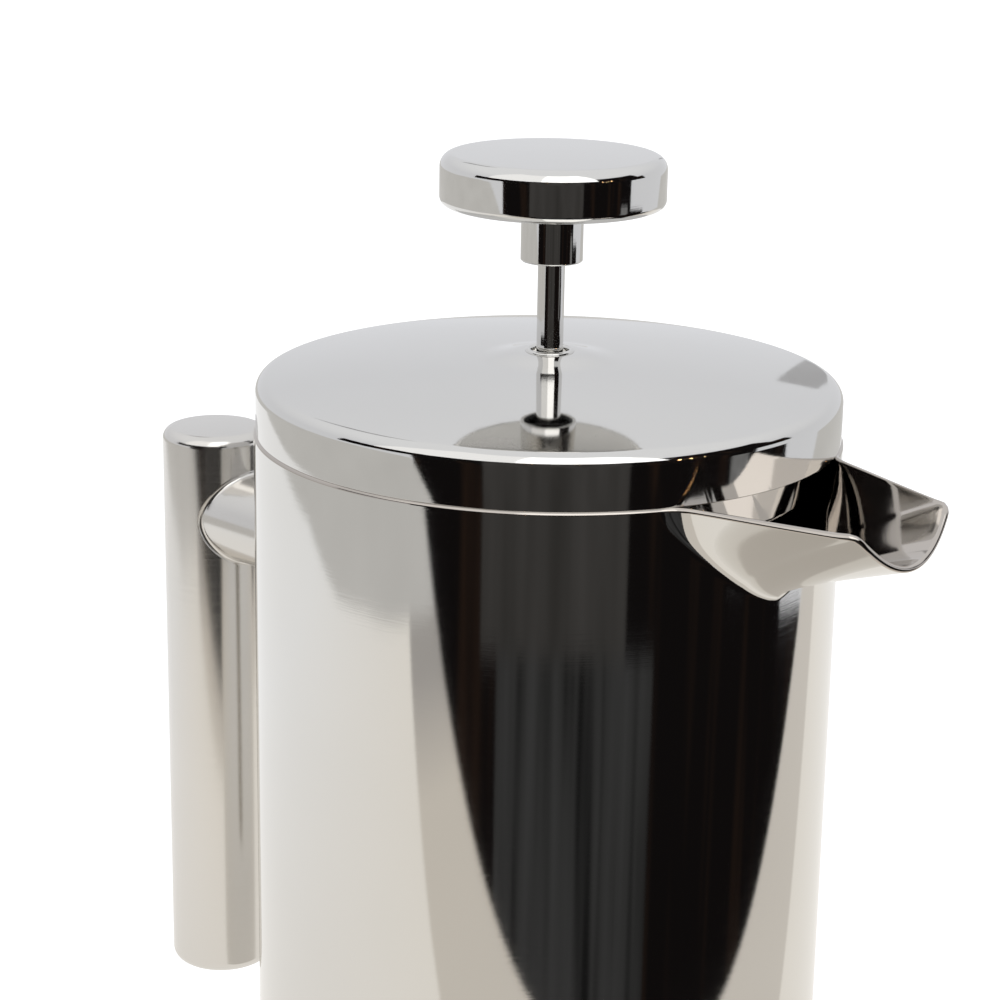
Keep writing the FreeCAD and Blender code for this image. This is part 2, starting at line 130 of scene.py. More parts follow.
HAIRLINE_DEPTH = 0.02 * MM
WAVE_DEPTH = 0.4 * MM
WIRE_DEPTH = 0.1 * MM
WIRE_BANDS = 700


def steel(name, dark, light, roughness, hairline, wave=0.0):
    """Stainless steel: a faint cloudiness, level hairlines, and a slight waviness of the sheet."""
    n = Nodes(name)
    n.put("Metallic", 1.0)
    clouds = n.noise(stretch=(1, 1, 1), scale=16, detail=3)
    n.link(n.ramp(clouds, [(0.3, dark), (0.7, light)]), n.shader.inputs["Base Color"])
    lines = n.noise(stretch=(1, 1, 90), scale=42, detail=5, roughness=0.75)
    n.link(n.spread(lines, *roughness), n.shader.inputs["Roughness"])
    swell = None
    if wave:
        swell = n.bump(n.noise(stretch=(1, 1, 0.35), scale=30, detail=1), wave, WAVE_DEPTH)
    n.link(n.bump(lines, hairline, HAIRLINE_DEPTH, swell), n.shader.inputs["Normal"])
    return n.material


def woven(name):
    """Fine wire cloth: two crossing sets of wires, with painted shade between them in the gaps."""
    n = Nodes(name)
    n.put("Metallic", 1.0)
    n.put("Roughness", 0.35)
    waves = []
    for direction in ("X", "Y"):
        wave = n.add("ShaderNodeTexWave", wave_type="BANDS", bands_direction=direction)
        wave.inputs["Scale"].default_value = WIRE_BANDS
        n.link(n.place(), wave.inputs["Vector"])
        waves.append(wave.outputs["Fac"])
    weave = n.add("ShaderNodeMath", operation="MAXIMUM")
    n.link(waves[0], weave.inputs[0])
    n.link(waves[1], weave.inputs[1])
    # Painted shade: near black in the gaps between the wires, light steel on the wires.
    shades = [(0.45, tint(0.05, 0.05, 0.05)), (0.75, tint(0.62, 0.61, 0.59))]
    n.link(n.ramp(weave.outputs[0], shades), n.shader.inputs["Base Color"])
    n.link(n.bump(weave.outputs[0], 0.8, WIRE_DEPTH), n.shader.inputs["Normal"])
    return n.material


# Dark and light shade of the clouds, range of roughness, strength of the hairlines.
POLISHED = steel(
    "polished_steel", tint(0.68, 0.67, 0.65), tint(0.71, 0.70, 0.68), (0.035, 0.075), hairline=0.10
)
HANDLE = steel(
    "handle_steel", tint(0.66, 0.64, 0.61), tint(0.72, 0.70, 0.67), (0.13, 0.20), hairline=0.10
)
# Painted shade: the vessel's steel is darker and browner than the outer steel, so the pot's inside
# looks shaded.
INSIDE_PAINTED_SHADE = steel(
    "vessel_steel_painted_shade", tint(0.48, 0.44, 0.40), tint(0.54, 0.50, 0.46), (0.05, 0.09), hairline=0.10
)
SATIN = steel(
    "satin_steel", tint(0.58, 0.57, 0.55), tint(0.64, 0.63, 0.61), (0.22, 0.36), hairline=0.3, wave=0.02
)
SPRING = steel(
    "spring_steel", tint(0.55, 0.54, 0.52), tint(0.62, 0.61, 0.59), (0.14, 0.24), hairline=0.1
)
MESH = woven("wire_mesh")

MATERIAL_OF_SLOT = {
    "polished_steel": POLISHED,
    "satin_steel": SATIN,
    "spring_steel": SPRING,
    "wire_mesh": MESH,
}


def dress(piece, material):
    piece.data.materials.clear()
    piece.data.materials.append(material)


for part in frame["record"]["subparts"]:
    dress(frame["nodes"][part["node"]], MATERIAL_OF_SLOT[part["material_slot"]])

# --- Mesh tools ----------------------------------------------------------------------------------

TURNS = 256
ARC_STEP_DEG = 6
NEVER_SHARP_DEG = 180
SAME_POINT = 1e-7


class Profile:
    """An outline in the (radius, height) plane, as points; arcs are divided finely."""

    def __init__(self, r, z):
        self.points = [(r, z)]

    def line(self, r, z):
        self.points.append((r, z))
        return self

    def arc(self, centre, radius, start_deg, end_deg):
        steps = max(4, math.ceil(abs(end_deg - start_deg) / ARC_STEP_DEG))
        for i in range(steps + 1):
            a = math.radians(start_deg + (end_deg - start_deg) * i / steps)
            self.points.append((centre[0] + radius * math.cos(a), centre[1] + radius * math.sin(a)))
        return self

    def curve(self, points):
        self.points += points
        return self


def mesh_piece(name, verts, faces, slot, body, sharp_deg=35):
    """A smooth-shaded piece in a material slot, riding on a body."""
    mesh = bpy.data.meshes.new(name)
    mesh.from_pydata(verts, [], faces)
    mesh.validate()
    piece = bpy.data.objects.new(name, mesh)
    bpy.context.scene.collection.objects.link(piece)
    mesh.shade_smooth()
    mesh.set_sharp_from_angle(angle=math.radians(sharp_deg))
    dress(piece, MATERIAL_OF_SLOT[slot])
    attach(piece, body)
    return piece


def turned(name, profile, slot, body, centre=(0, 0), turns=TURNS):
    """The closed outline turned about an upright axis; points at radius 0 become one vertex."""
    points = []
    for point in profile.points:
        if not points or math.dist(point, points[-1]) > SAME_POINT:
            points.append(point)
    if math.dist(points[0], points[-1]) < SAME_POINT:
        points.pop()
    verts, rings = [], []
    for r, z in points:
        if r < SAME_POINT:
            rings.append([len(verts)] * turns)
            verts.append((centre[0], centre[1], z))
            continue
        rings.append(list(range(len(verts), len(verts) + turns)))
        for i in range(turns):
            a = 2 * math.pi * i / turns
            verts.append((centre[0] + r * math.cos(a), centre[1] + r * math.sin(a), z))
    faces = []
    for low, high in zip(rings, rings[1:] + rings[:1]):
        for i in range(turns):
            j = (i + 1) % turns
            corners = list(dict.fromkeys((low[i], low[j], high[j], high[i])))
            if len(corners) > 2:
                faces.append(corners)
    piece = mesh_piece(name, verts, faces, slot, body)
    return outward(piece)


def ring_faces(rows, sides, closed=False):
    """Quads between rows of points that each go once round; closed joins the last row to the first."""
    faces = []
    for i in range(rows if closed else rows - 1):
        n = (i + 1) % rows
        for k in range(sides):
            j = (k + 1) % sides
            faces.append((i * sides + k, i * sides + j, n * sides + j, n * sides + k))
    return faces


def outward(piece):
    """Turns every face of a mesh outwards."""
    work = bmesh.new()
    work.from_mesh(piece.data)
    bmesh.ops.recalc_face_normals(work, faces=work.faces)
    work.to_mesh(piece.data)
    work.free()
    return piece


# --- Pot -----------------------------------------------------------------------------------------

SKIN = 0.6 * MM
AIR_GAP = 3.8 * MM
BAND_Z = 140.0 * MM
BOTTOM_ROUND = 4.0 * MM
VESSEL_FLOOR_Z = 10.0 * MM
SPOUT_ROOT_DEG = 24.5
SPOUT_BLEND_DEG = 29.0
SPOUT_BLEND_DEPTH = 20.0 * MM
SPOUT_BLEND_POWER = 1.5
SPOUT_HEEL = 0.35
MOUTH_CORNER = (80.4 * MM, 13.9 * MM)
MOUTH_CORNER_DROP = 0.4 * MM
MOUTH_DIP = 7.6 * MM
EDGE_SOFTNESS = 3.0 * MM
GAP_CLOSES = (0.2, 0.6)
DIP_WIDTH = 1.0
DIP_SOFTNESS = 0.12
SPOUT_DEG = 34
SPOUT_STEP = 0.5
ROUND_STEP = 2
BAND_ROWS = 72
LIP_STEPS = 20
FOOT_STEPS = 10

POT_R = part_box("outer_shell")[1].y
SPOUT_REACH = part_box("outer_shell")[1].x
RIM_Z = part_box("inner_vessel")[1].z


def smooth_step(x):
    x = min(max(x, 0.0), 1.0)
    return x * x * (3 - 2 * x)


def soft_min(a, b, width):
    overlap = max(width - abs(a - b), 0.0) / width
    return min(a, b) - overlap * overlap * width / 4


def soft_start(x, heel):
    """0 to 1 over x from 0 to 1: flat at first, then almost straight."""
    x = min(max(x, 0.0), 1.0)
    return x * x / (x + heel) * (1 + heel)


def edge_radius(deg):
    """Plan radius of the pot's top edge: the rim's circle, drawn out into the spout."""
    root_x = POT_R * math.cos(math.radians(SPOUT_ROOT_DEG))
    root_y = POT_R * math.sin(math.radians(SPOUT_ROOT_DEG))
    corner_x, corner_y = MOUTH_CORNER
    facing = math.atan2(corner_x - root_x, root_y - corner_y)
    reach = root_x * math.cos(facing) + root_y * math.sin(facing)
    side = reach / max(math.cos(math.radians(abs(deg)) - facing), 1e-3)
    corner_deg = math.degrees(math.atan2(corner_y, corner_x))
    corner_back = SPOUT_REACH - math.hypot(corner_x, corner_y)
    mouth = SPOUT_REACH - corner_back * (deg / corner_deg) ** 2
    drawn = soft_min(side, mouth, EDGE_SOFTNESS)
    return -soft_min(-drawn, -POT_R, EDGE_SOFTNESS)


def edge_height(deg):
    """Height of the top edge: it falls along the spout and dips in a U at the mouth."""
    corner_deg = math.degrees(math.atan2(MOUTH_CORNER[1], MOUTH_CORNER[0]))
    fall = smooth_step((SPOUT_ROOT_DEG - abs(deg)) / (SPOUT_ROOT_DEG - corner_deg))
    inside = max(1 - (deg / (DIP_WIDTH * corner_deg)) ** 2, 0.0)
    return RIM_Z - SKIN - MOUTH_CORNER_DROP * fall - MOUTH_DIP * soft_start(inside, DIP_SOFTNESS)


def heel_height(deg):
    """Height at which the spout starts to leave the round body."""
    share = min(abs(deg) / SPOUT_BLEND_DEG, 1.0)
    return RIM_Z - SKIN - SPOUT_BLEND_DEPTH * (1 - share**SPOUT_BLEND_POWER)


def wall_point(deg, v):
    """Outer face of the pot at an angle and a share v of the way from BAND_Z to the edge."""
    top, heel = edge_height(deg), heel_height(deg)
    z = BAND_Z + v * (top - BAND_Z)
    drawn = soft_start((z - heel) / max(top - heel, 1e-3 * MM), SPOUT_HEEL)
    r = POT_R + (edge_radius(deg) - POT_R) * drawn if abs(deg) < SPOUT_DEG else POT_R
    a = math.radians(deg)
    return Vector((r * math.cos(a), r * math.sin(a), z))


def wall_frame(deg, v):
    """Point, outward normal and upward tangent of the outer face."""
    turn_step, rise_step = 0.05, 1e-3
    along = wall_point(deg + turn_step, v) - wall_point(deg - turn_step, v)
    rise = wall_point(deg, min(v + rise_step, 1.0)) - wall_point(deg, max(v - rise_step, 0.0))
    return wall_point(deg, v), along.cross(rise).normalized(), rise.normalized()


def wall_angles():
    spout = [-SPOUT_DEG + SPOUT_STEP * i for i in range(round(2 * SPOUT_DEG / SPOUT_STEP) + 1)]
    rest = [SPOUT_DEG + ROUND_STEP * i for i in range(1, (360 - 2 * SPOUT_DEG) // ROUND_STEP)]
    return spout + [deg if deg <= 180 else deg - 360 for deg in rest]


def foot(deg, r_turn, radius, z):
    """The rounded foot of a wall, from the bottom plane up to the upright."""
    a = math.radians(deg)
    points = []
    for i in range(FOOT_STEPS + 1):
        turn = math.radians(-90 + 90 * i / FOOT_STEPS)
        r = r_turn + radius * math.cos(turn)
        points.append(Vector((r * math.cos(a), r * math.sin(a), z + radius * math.sin(turn))))
    return points


def gap_at(v):
    """Space between the two skins; it closes towards the top edge."""
    first, last = GAP_CLOSES
    return AIR_GAP * (1 - smooth_step((v - first) / (last - first)))


def band(deg, depth_at):
    points = []
    for i in range(BAND_ROWS + 1):
        point, normal, _ = wall_frame(deg, i / BAND_ROWS)
        points.append(point - normal * depth_at(i / BAND_ROWS))
    return points


def outer_column(deg):
    """The outer skin's section at an angle: up the outer face and down the inner one."""
    r_turn = POT_R - BOTTOM_ROUND
    outside = foot(deg, r_turn, BOTTOM_ROUND, BOTTOM_ROUND) + band(deg, lambda v: 0.0)
    inside = foot(deg, r_turn, BOTTOM_ROUND - SKIN, BOTTOM_ROUND) + band(deg, lambda v: SKIN)
    return outside + inside[::-1]


def inner_column(deg):
    """The vessel's section: up its outside, over the lip and down its inside to the floor."""
    r_in = POT_R - 2 * SKIN - AIR_GAP
    r_turn, z_turn = r_in - BOTTOM_ROUND, VESSEL_FLOOR_Z + BOTTOM_ROUND
    outside = foot(deg, r_turn, BOTTOM_ROUND + SKIN, z_turn)
    outside += band(deg, lambda v: SKIN + gap_at(v))
    inside = foot(deg, r_turn, BOTTOM_ROUND, z_turn)
    inside += band(deg, lambda v: 2 * SKIN + gap_at(v))[:-1]
    point, normal, rise = wall_frame(deg, 1.0)
    lip = []
    for i in range(LIP_STEPS + 1):
        turn = math.pi * i / LIP_STEPS
        lip.append(point - normal * SKIN + (normal * math.cos(turn) + rise * math.sin(turn)) * SKIN)
    return outside + lip + inside[::-1]


def wall_piece(name, column, node, axis_heights=()):
    """A wall from its sections all round; closed on the axis where heights are given."""
    columns = [column(deg) for deg in wall_angles()]
    count, rows = len(columns), len(columns[0])
    verts = [point for points in columns for point in points]
    faces = []
    for i in range(count):
        j = (i + 1) % count
        for k in range(rows - 1):
            faces.append((i * rows + k, j * rows + k, j * rows + k + 1, i * rows + k + 1))
        if not axis_heights:
            faces.append((i * rows + rows - 1, j * rows + rows - 1, j * rows, i * rows))
    for row, z in zip((0, rows - 1), axis_heights):
        verts.append(Vector((0, 0, z)))
        for i in range(count):
            j = (i + 1) % count
            faces.append((i * rows + row, j * rows + row, len(verts) - 1))
    piece = outward(mesh_piece(name, verts, faces, "polished_steel", "pot"))
    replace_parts(piece, node)
    return piece


vessel_floor = (VESSEL_FLOOR_Z - SKIN, VESSEL_FLOOR_Z)
wall_piece("outer_skin", outer_column, "outer_shell")
# The vessel wears the darker steel whose colour paints the shade inside the pot.
dress(wall_piece("vessel_skin", inner_column, "inner_vessel", vessel_floor), INSIDE_PAINTED_SHADE)

# --- Lid -----------------------------------------------------------------------------------------

LID_EDGE_R = 52.0 * MM
LID_CROWN_H = 3.9 * MM
LID_T = 0.8 * MM
LID_ROUND = 2.5 * MM
HEM_ROUND = 0.2 * MM
BOSS_R = (5.6 * MM, 13.5 * MM)
BOSS_H = 1.0 * MM
BOSS_SHARPNESS = 0.8
LID_POINTS = 60
GUIDE_RING_EDGE = 0.7 * MM

LID_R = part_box("lid_cover")[1].x
HEM_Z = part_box("lid_cover")[0].z
LID_EDGE_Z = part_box("lid_cover")[1].z - LID_CROWN_H * (1 - (BOSS_R[0] / LID_EDGE_R) ** 2) - BOSS_H


def lid_z(r):
    """Height of the lid's domed top with its raised boss."""
    share = min(max((r - BOSS_R[0]) / (BOSS_R[1] - BOSS_R[0]), 0.0), 1.0)
    crown = LID_CROWN_H * (1 - (r / LID_EDGE_R) ** 2)
    return LID_EDGE_Z + crown + BOSS_H * (1 + math.cos(math.pi * share**BOSS_SHARPNESS)) / 2


def lid_slope(r):
    """Fall of the lid's top at a radius, as an angle."""
    step = 0.01 * MM
    return math.atan((lid_z(r - step) - lid_z(r + step)) / (2 * step))


def lid_curve(r_end, depth):
    """The lid's domed top from the bore out to r_end, moved a depth into the sheet."""
    points = []
    for i in range(LID_POINTS + 1):
        r = BOSS_R[0] + (r_end - BOSS_R[0]) * i / LID_POINTS
        fall = lid_slope(r) if i else 0.0
        points.append((r - depth * math.sin(fall), lid_z(r) - depth * math.cos(fall)))
    return points


def make_lid_cover():
    start_deg = 90 - math.degrees(lid_slope(LID_R - LID_ROUND))
    lean = math.radians(start_deg)
    r_end = LID_R - LID_ROUND + LID_ROUND * math.cos(lean)
    turn = (LID_R - LID_ROUND, lid_z(r_end) - LID_ROUND * math.sin(lean))
    hem = (LID_R - HEM_ROUND, HEM_Z + HEM_ROUND)
    r_in = LID_R - LID_T
    top_side = lid_curve(r_end, 0)
    under_side = list(reversed(lid_curve(r_end, LID_T)))
    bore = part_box("lid_rod_guide")[1].x - GUIDE_RING_EDGE
    cover = Profile(bore, top_side[0][1])
    cover.curve(top_side).arc(turn, LID_ROUND, start_deg, 0)
    cover.arc(hem, HEM_ROUND, 0, -90).line(r_in - HEM_ROUND, HEM_Z)
    cover.line(r_in - HEM_ROUND, HEM_Z + LID_T).line(r_in, HEM_Z + LID_T + HEM_ROUND)
    cover.arc(turn, LID_ROUND - LID_T, 0, start_deg).curve(under_side)
    cover.line(bore, under_side[-1][1])
    piece = turned("lid_shell", cover, "polished_steel", "lid")
    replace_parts(piece, "lid_cover")


make_lid_cover()

# --- Knob ----------------------------------------------------------------------------------------

KNOB_T = 0.8 * MM
KNOB_ROUND = 2.5 * MM
KNOB_FOOT_ROUND = 1.6 * MM
FERRULE_T = 0.8 * MM
FERRULE_EDGE = 0.35 * MM
FERRULE_FLOOR = 1.0 * MM
SCREW_BORE_R = 2.06 * MM


def make_knob():
    low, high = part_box("knob_cap")
    r, z0, z1 = high.x, low.z, high.z
    turn = (r - KNOB_ROUND, z1 - KNOB_ROUND)
    lower_turn = (r - KNOB_FOOT_ROUND, z0 + KNOB_FOOT_ROUND)
    cap = Profile(0, z1)
    cap.arc(turn, KNOB_ROUND, 90, 0).arc(lower_turn, KNOB_FOOT_ROUND, 0, -90)
    cap.line(lower_turn[0], z0 + KNOB_T).arc(lower_turn, KNOB_FOOT_ROUND - KNOB_T, -90, 0)
    cap.arc(turn, KNOB_ROUND - KNOB_T, 0, 90).line(0, z1 - KNOB_T)
    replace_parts(turned("knob_shell", cap, "polished_steel", "knob"), "knob_cap")


def make_ferrule():
    low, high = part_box("knob_ferrule")
    r, z0, z1 = high.x, low.z, high.z
    r_in, edge = r - FERRULE_T, FERRULE_EDGE
    cup = Profile(r_in + edge, z0)
    cup.arc((r - edge, z0 + edge), edge, -90, 0).line(r, z1 - edge)
    cup.arc((r - edge, z1 - edge), edge, 0, 90).line(SCREW_BORE_R, z1)
    cup.line(SCREW_BORE_R, z1 - FERRULE_FLOOR).line(r_in, z1 - FERRULE_FLOOR)
    cup.arc((r_in + edge, z0 + edge), edge, 180, 270)
    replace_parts(turned("ferrule_shell", cup, "polished_steel", "ferrule"), "knob_ferrule")


make_knob()
make_ferrule()

# --- Handle --------------------------------------------------------------------------------------

HANDLE_WALL = 1.0 * MM
CAP_ROUND = 2.4 * MM
ARM_WELD_R = 0.9 * MM
ARM_SIDES = 96
ARM_ROWS = 24
WELD_ROWS = 6


def make_handle():
    """The handle's tube and ends as one skin; returns its axis and radius."""
    tube_low, tube_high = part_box("handle_tube")
    x = (tube_low.x + tube_high.x) / 2
    r = tube_high.y
    z0, z1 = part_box("handle_bottom_cap")[0].z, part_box("handle_top_cap")[1].z
    skin = Profile(0, z1)
    skin.arc((r - CAP_ROUND, z1 - CAP_ROUND), CAP_ROUND, 90, 0)
    skin.arc((r - CAP_ROUND, z0 + CAP_ROUND), CAP_ROUND, 0, -90).line(0, z0)
    r_in = r - HANDLE_WALL
    skin.line(0, z0 + HANDLE_WALL).line(r_in, z0 + HANDLE_WALL)
    skin.line(r_in, z1 - HANDLE_WALL).line(0, z1 - HANDLE_WALL)
    piece = turned("handle_skin", skin, "polished_steel", "pot", (x, 0))
    dress(piece, HANDLE)
    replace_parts(piece, "handle_tube", "handle_top_cap", "handle_bottom_cap")
    return x, r


def weld(share):
    """A weld's distance from the wall and its extra radius, at a share of its quarter turn."""
    turn = math.pi / 2 * share
    return ARM_WELD_R * (1 - math.cos(turn)), ARM_WELD_R * (1 - math.sin(turn))


def make_arm(handle_x, handle_r):
    """The arm's tube, flared into a small polished weld where it meets pot and handle."""
    low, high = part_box("handle_arm")
    z, r = (low.z + high.z) / 2, high.y
    pot_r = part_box("outer_shell")[1].y
    last = ARM_ROWS + 2 * WELD_ROWS
    verts = []
    for i in range(last + 1):
        for k in range(ARM_SIDES):
            a = 2 * math.pi * k / ARM_SIDES
            y, up = math.cos(a), math.sin(a)
            start = handle_x + math.sqrt(handle_r**2 - (r * y) ** 2)
            end = -math.sqrt(pot_r**2 - (r * y) ** 2)
            if i <= WELD_ROWS:
                out, grow = weld(i / WELD_ROWS)
                x = start + out
            elif i >= ARM_ROWS + WELD_ROWS:
                out, grow = weld((last - i) / WELD_ROWS)
                x = end - out
            else:
                share = (i - WELD_ROWS) / ARM_ROWS
                x = start + ARM_WELD_R + (end - start - 2 * ARM_WELD_R) * share
                grow = 0.0
            verts.append((x, (r + grow) * y, z + (r + grow) * up))
    faces = ring_faces(last + 1, ARM_SIDES)
    piece = mesh_piece("handle_arm_skin", verts, faces, "polished_steel", "pot", NEVER_SHARP_DEG)
    dress(piece, HANDLE)
    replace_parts(outward(piece), "handle_arm")


make_arm(*make_handle())

# --- Filter spring -------------------------------------------------------------------------------

WIRE_R = 0.42 * MM
WIRE_SIDES = 8
COIL_PITCH = 1.25 * MM
COIL_POINTS = 16


def make_spring():
    """The closely wound spring, its helix bent round into a ring."""
    low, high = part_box("filter_coil_spring")
    section = (high.z - low.z) / 2
    ring_r = high.x - section
    coil_r = section - WIRE_R
    z = (high.z + low.z) / 2
    turns = round(2 * math.pi * ring_r / COIL_PITCH)
    count = turns * COIL_POINTS

    def at(i):
        along = 2 * math.pi * i / count
        around = 2 * math.pi * i / COIL_POINTS
        r = ring_r + coil_r * math.cos(around)
        return Vector((r * math.cos(along), r * math.sin(along), z + coil_r * math.sin(around)))

    verts = []
    for i in range(count):
        along = 2 * math.pi * i / count
        centre = Vector((ring_r * math.cos(along), ring_r * math.sin(along), z))
        here = at(i)
        forward = (at(i + 1) - at(i - 1)).normalized()
        side = (here - centre).normalized()
        third = forward.cross(side).normalized()
        side = third.cross(forward)
        for k in range(WIRE_SIDES):
            a = 2 * math.pi * k / WIRE_SIDES
            verts.append(here + (side * math.cos(a) + third * math.sin(a)) * WIRE_R)
    faces = ring_faces(count, WIRE_SIDES, closed=True)
    piece = mesh_piece(
        "filter_spring_wire", verts, faces, "spring_steel", "filter_pack", NEVER_SHARP_DEG
    )
    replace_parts(outward(piece), "filter_coil_spring")


make_spring()

# --- Stage ---------------------------------------------------------------------------------------

FLOOR_R = 14.0
FLOOR_SIDES = 96
FLOOR_GLOW = 0.40
DARK_AZIMUTH = math.radians(-10.8)
WHITE_EDGE = 0.158
WHITE_EDGE_BEND = 0.18
SHEET_BACK = (
    (-0.48, 0.03),
    (-0.46, -0.15),
    (-0.42, -0.25),
    (-0.40, -0.40),
    (-0.315, -0.52),
    (-0.2, -0.66),
    (0.0, -0.8),
    (0.3, -0.8),
    (0.5, -0.6),
    (0.6, 0.05),
)
SHEET_SIDES = (SHEET_BACK[0][0], SHEET_BACK[-1][0])
SHEET_FADE = (-0.35, 0.15)
STRIP_FADE = (-0.48, 0.48)
STRIP_INNER = 0.090
STRIP_SLANT = 0.13
TABLE_HALF = 3.0
TABLE_Z = -2 * MM
SHEET_Z = -1 * MM
STRIP_Z = -0.5 * MM
ROOM_R = 2.2
FIGURE_R = 0.7
PALE_R = 0.9
DIM_R = 1.0
CARD_EYE = 0.17

# Upright cards round the pot: shade, name, azimuths from the camera in degrees, radius, heights.
UPRIGHT_CARDS = (
    ("room", "dark_low", (-62, 122), ROOM_R, (-3.0, -0.585)),
    ("room", "dark_middle", (-51, 102), ROOM_R, (-0.59, -0.24)),
    ("room", "dark_high", (-51, 84), ROOM_R, (-0.25, 0.4)),
    ("room", "dark_top", (-85, 104), ROOM_R, (0.38, 0.98)),
    ("room", "dark_tall", (47, 96), ROOM_R, (0.97, 1.75)),
    ("cloth", "cloth_low", (-17, 41), FIGURE_R, (-1.5, -0.09)),
    ("smooth", "cloth_high", (-23, 30), FIGURE_R, (-0.09, 0.42)),
    ("pale", "pale_card", (71.5, 80), PALE_R, (-0.118, 0.04)),
    ("dim", "dim_far", (167, 169), DIM_R, (0.27, 0.43)),
    ("dim", "dim_high", (-166, -159), DIM_R, (0.78, 1.15)),
)

# Windows: name, azimuths, brightness. Both reach over the same elevations.
WINDOW_ELEVATIONS = (20, 70)
WINDOWS = (
    ("window_front", "bright_window", (-12, 47), 1.9),
    ("window_left", "soft_window", (-70, -12), 1.15),
)

# Small warm lamps: azimuth and height.
LAMPS = ((50, 0.66), (55, 0.70), (60.5, 0.70), (-6, 0.72), (12, 0.70))
LAMP_R = ROOM_R - 0.1
LAMP_DEG = 0.8
LAMP_H = 0.03
LAMP_GLOW = 60

# The world's light: where it sits on the way up, and its colour.
LEVEL_LIGHT = (0.30, tint(0.392, 0.397, 0.412))
OVERHEAD_LIGHT = (0.75, tint(0.46, 0.465, 0.475))
LIGHT_STRENGTH = 2.0


def stage_mesh(name, verts, faces, material):
    mesh = bpy.data.meshes.new(name)
    mesh.from_pydata(verts, [], faces)
    piece = bpy.data.objects.new(name, mesh)
    bpy.context.scene.collection.objects.link(piece)
    dress(piece, material)
    return piece


def only_in_reflections(piece):
    piece.visible_camera = False
    piece.visible_diffuse = False
    piece.visible_transmission = False
    piece.visible_volume_scatter = False
    piece.visible_shadow = False


def floor_white():
    """A matte white that also shines a little, so that no side of the floor looks grey."""
    n = Nodes("floor_white")
    n.put("Roughness", 0.9)
    n.put("Specular IOR Level", 0.0)
    n.put("Base Color", tint(0.9, 0.9, 0.9))
    n.put("Emission Color", tint(1, 1, 1))
    n.put("Emission Strength", FLOOR_GLOW)
    return n.material


def shining(name, strength=1.0):
    """A black material that only shines; its colour is linked by the caller."""
    n = Nodes(name)
    n.put("Base Color", tint(0, 0, 0))
    n.put("Specular IOR Level", 0.0)
    n.put("Emission Strength", strength)
    return n


def glow(name, low, high, stretch=(1, 1, 1), scale=3.0, middle=(), strength=1.0):
    """A card that shines with the colours of a soft noise, from low to high."""
    n = shining(name, strength)
    stops = [low, *middle, high]
    n.link(n.ramp(n.noise(stretch, scale, 3), stops), n.shader.inputs["Emission Color"])
    return n.material


def ahead(out, across, up):
    """A point given from the pot: out towards the dark side, across it, and up."""
    c, s = math.cos(DARK_AZIMUTH), math.sin(DARK_AZIMUTH)
    return (out * c - across * s, out * s + across * c, up)


def around(azimuth_deg, radius, up):
    """A point round the pot; azimuth 0 is towards the camera."""
    a = CAMERA_AZIMUTH + math.radians(azimuth_deg)
    return (radius * math.cos(a), radius * math.sin(a), up)


def level_band(name, sides, inner, outer, up, material, steps=60):
    """A level card between two edges given as functions of the place across."""
    verts, faces = [], []
    for i in range(steps + 1):
        across = sides[0] + (sides[1] - sides[0]) * i / steps
        verts += [ahead(inner(across), across, up), ahead(outer(across), across, up)]
    for i in range(steps):
        faces.append((2 * i, 2 * i + 1, 2 * i + 3, 2 * i + 2))
    only_in_reflections(stage_mesh(name, verts, faces, material))


def upright(name, azimuths, radius, heights, material, steps=24):
    """A curved upright card round the pot between two azimuths and two heights."""
    verts, faces = [], []
    for i in range(steps + 1):
        a = azimuths[0] + (azimuths[1] - azimuths[0]) * i / steps
        verts += [around(a, radius, heights[0]), around(a, radius, heights[1])]
    for i in range(steps):
        faces.append((2 * i, 2 * i + 1, 2 * i + 3, 2 * i + 2))
    only_in_reflections(stage_mesh(name, verts, faces, material))


def dome_patch(name, azimuths, elevations, radius, material, steps=16):
    """A card on a sphere round the pot between two azimuths and two elevations."""
    verts, faces = [], []
    for i in range(steps + 1):
        up = math.radians(elevations[0] + (elevations[1] - elevations[0]) * i / steps)
        for k in range(steps + 1):
            a = azimuths[0] + (azimuths[1] - azimuths[0]) * k / steps
            verts.append(around(a, radius * math.cos(up), CARD_EYE + radius * math.sin(up)))
    for i in range(steps):
        for k in range(steps):
            low = i * (steps + 1) + k
            faces.append((low, low + 1, low + steps + 2, low + steps + 1))
    only_in_reflections(stage_mesh(name, verts, faces, material))


def white_edge(across):
    """The near border of the white sheet, towards the dark side."""
    return WHITE_EDGE - WHITE_EDGE_BEND * across * across


def strip_edge(across):
    """Where the sheet's shaded rim begins."""
    return STRIP_INNER - STRIP_SLANT * abs(across)


def add_floor():
    ring = [2 * math.pi * i / FLOOR_SIDES for i in range(FLOOR_SIDES)]
    verts = [(FLOOR_R * math.cos(a), FLOOR_R * math.sin(a), 0) for a in ring]
    floor = stage_mesh("floor", verts, [tuple(range(FLOOR_SIDES))], floor_white())
    floor.visible_glossy = False


def sheet_back(across):
    """The far border of the white sheet, as a place out from the pot."""
    for (start, near), (end, far) in zip(SHEET_BACK, SHEET_BACK[1:]):
        if across <= end:
            return near + (far - near) * (across - start) / (end - start)
    return SHEET_BACK[-1][1]


def across_shades(name, axis, fade, stops):
    """A shining card whose colours change over a stretch out from the pot (X) or across it (Y)."""
    n = shining(name)
    turned_place = n.add("ShaderNodeMapping")
    turned_place.inputs["Rotation"].default_value = (0, 0, -DARK_AZIMUTH)
    n.link(n.place(), turned_place.inputs["Vector"])
    split = n.add("ShaderNodeSeparateXYZ")
    n.link(turned_place.outputs["Vector"], split.inputs["Vector"])
    share = n.spread(split.outputs[axis], 0, 1, *fade)
    n.link(n.ramp(share, stops), n.shader.inputs["Emission Color"])
    return n.material


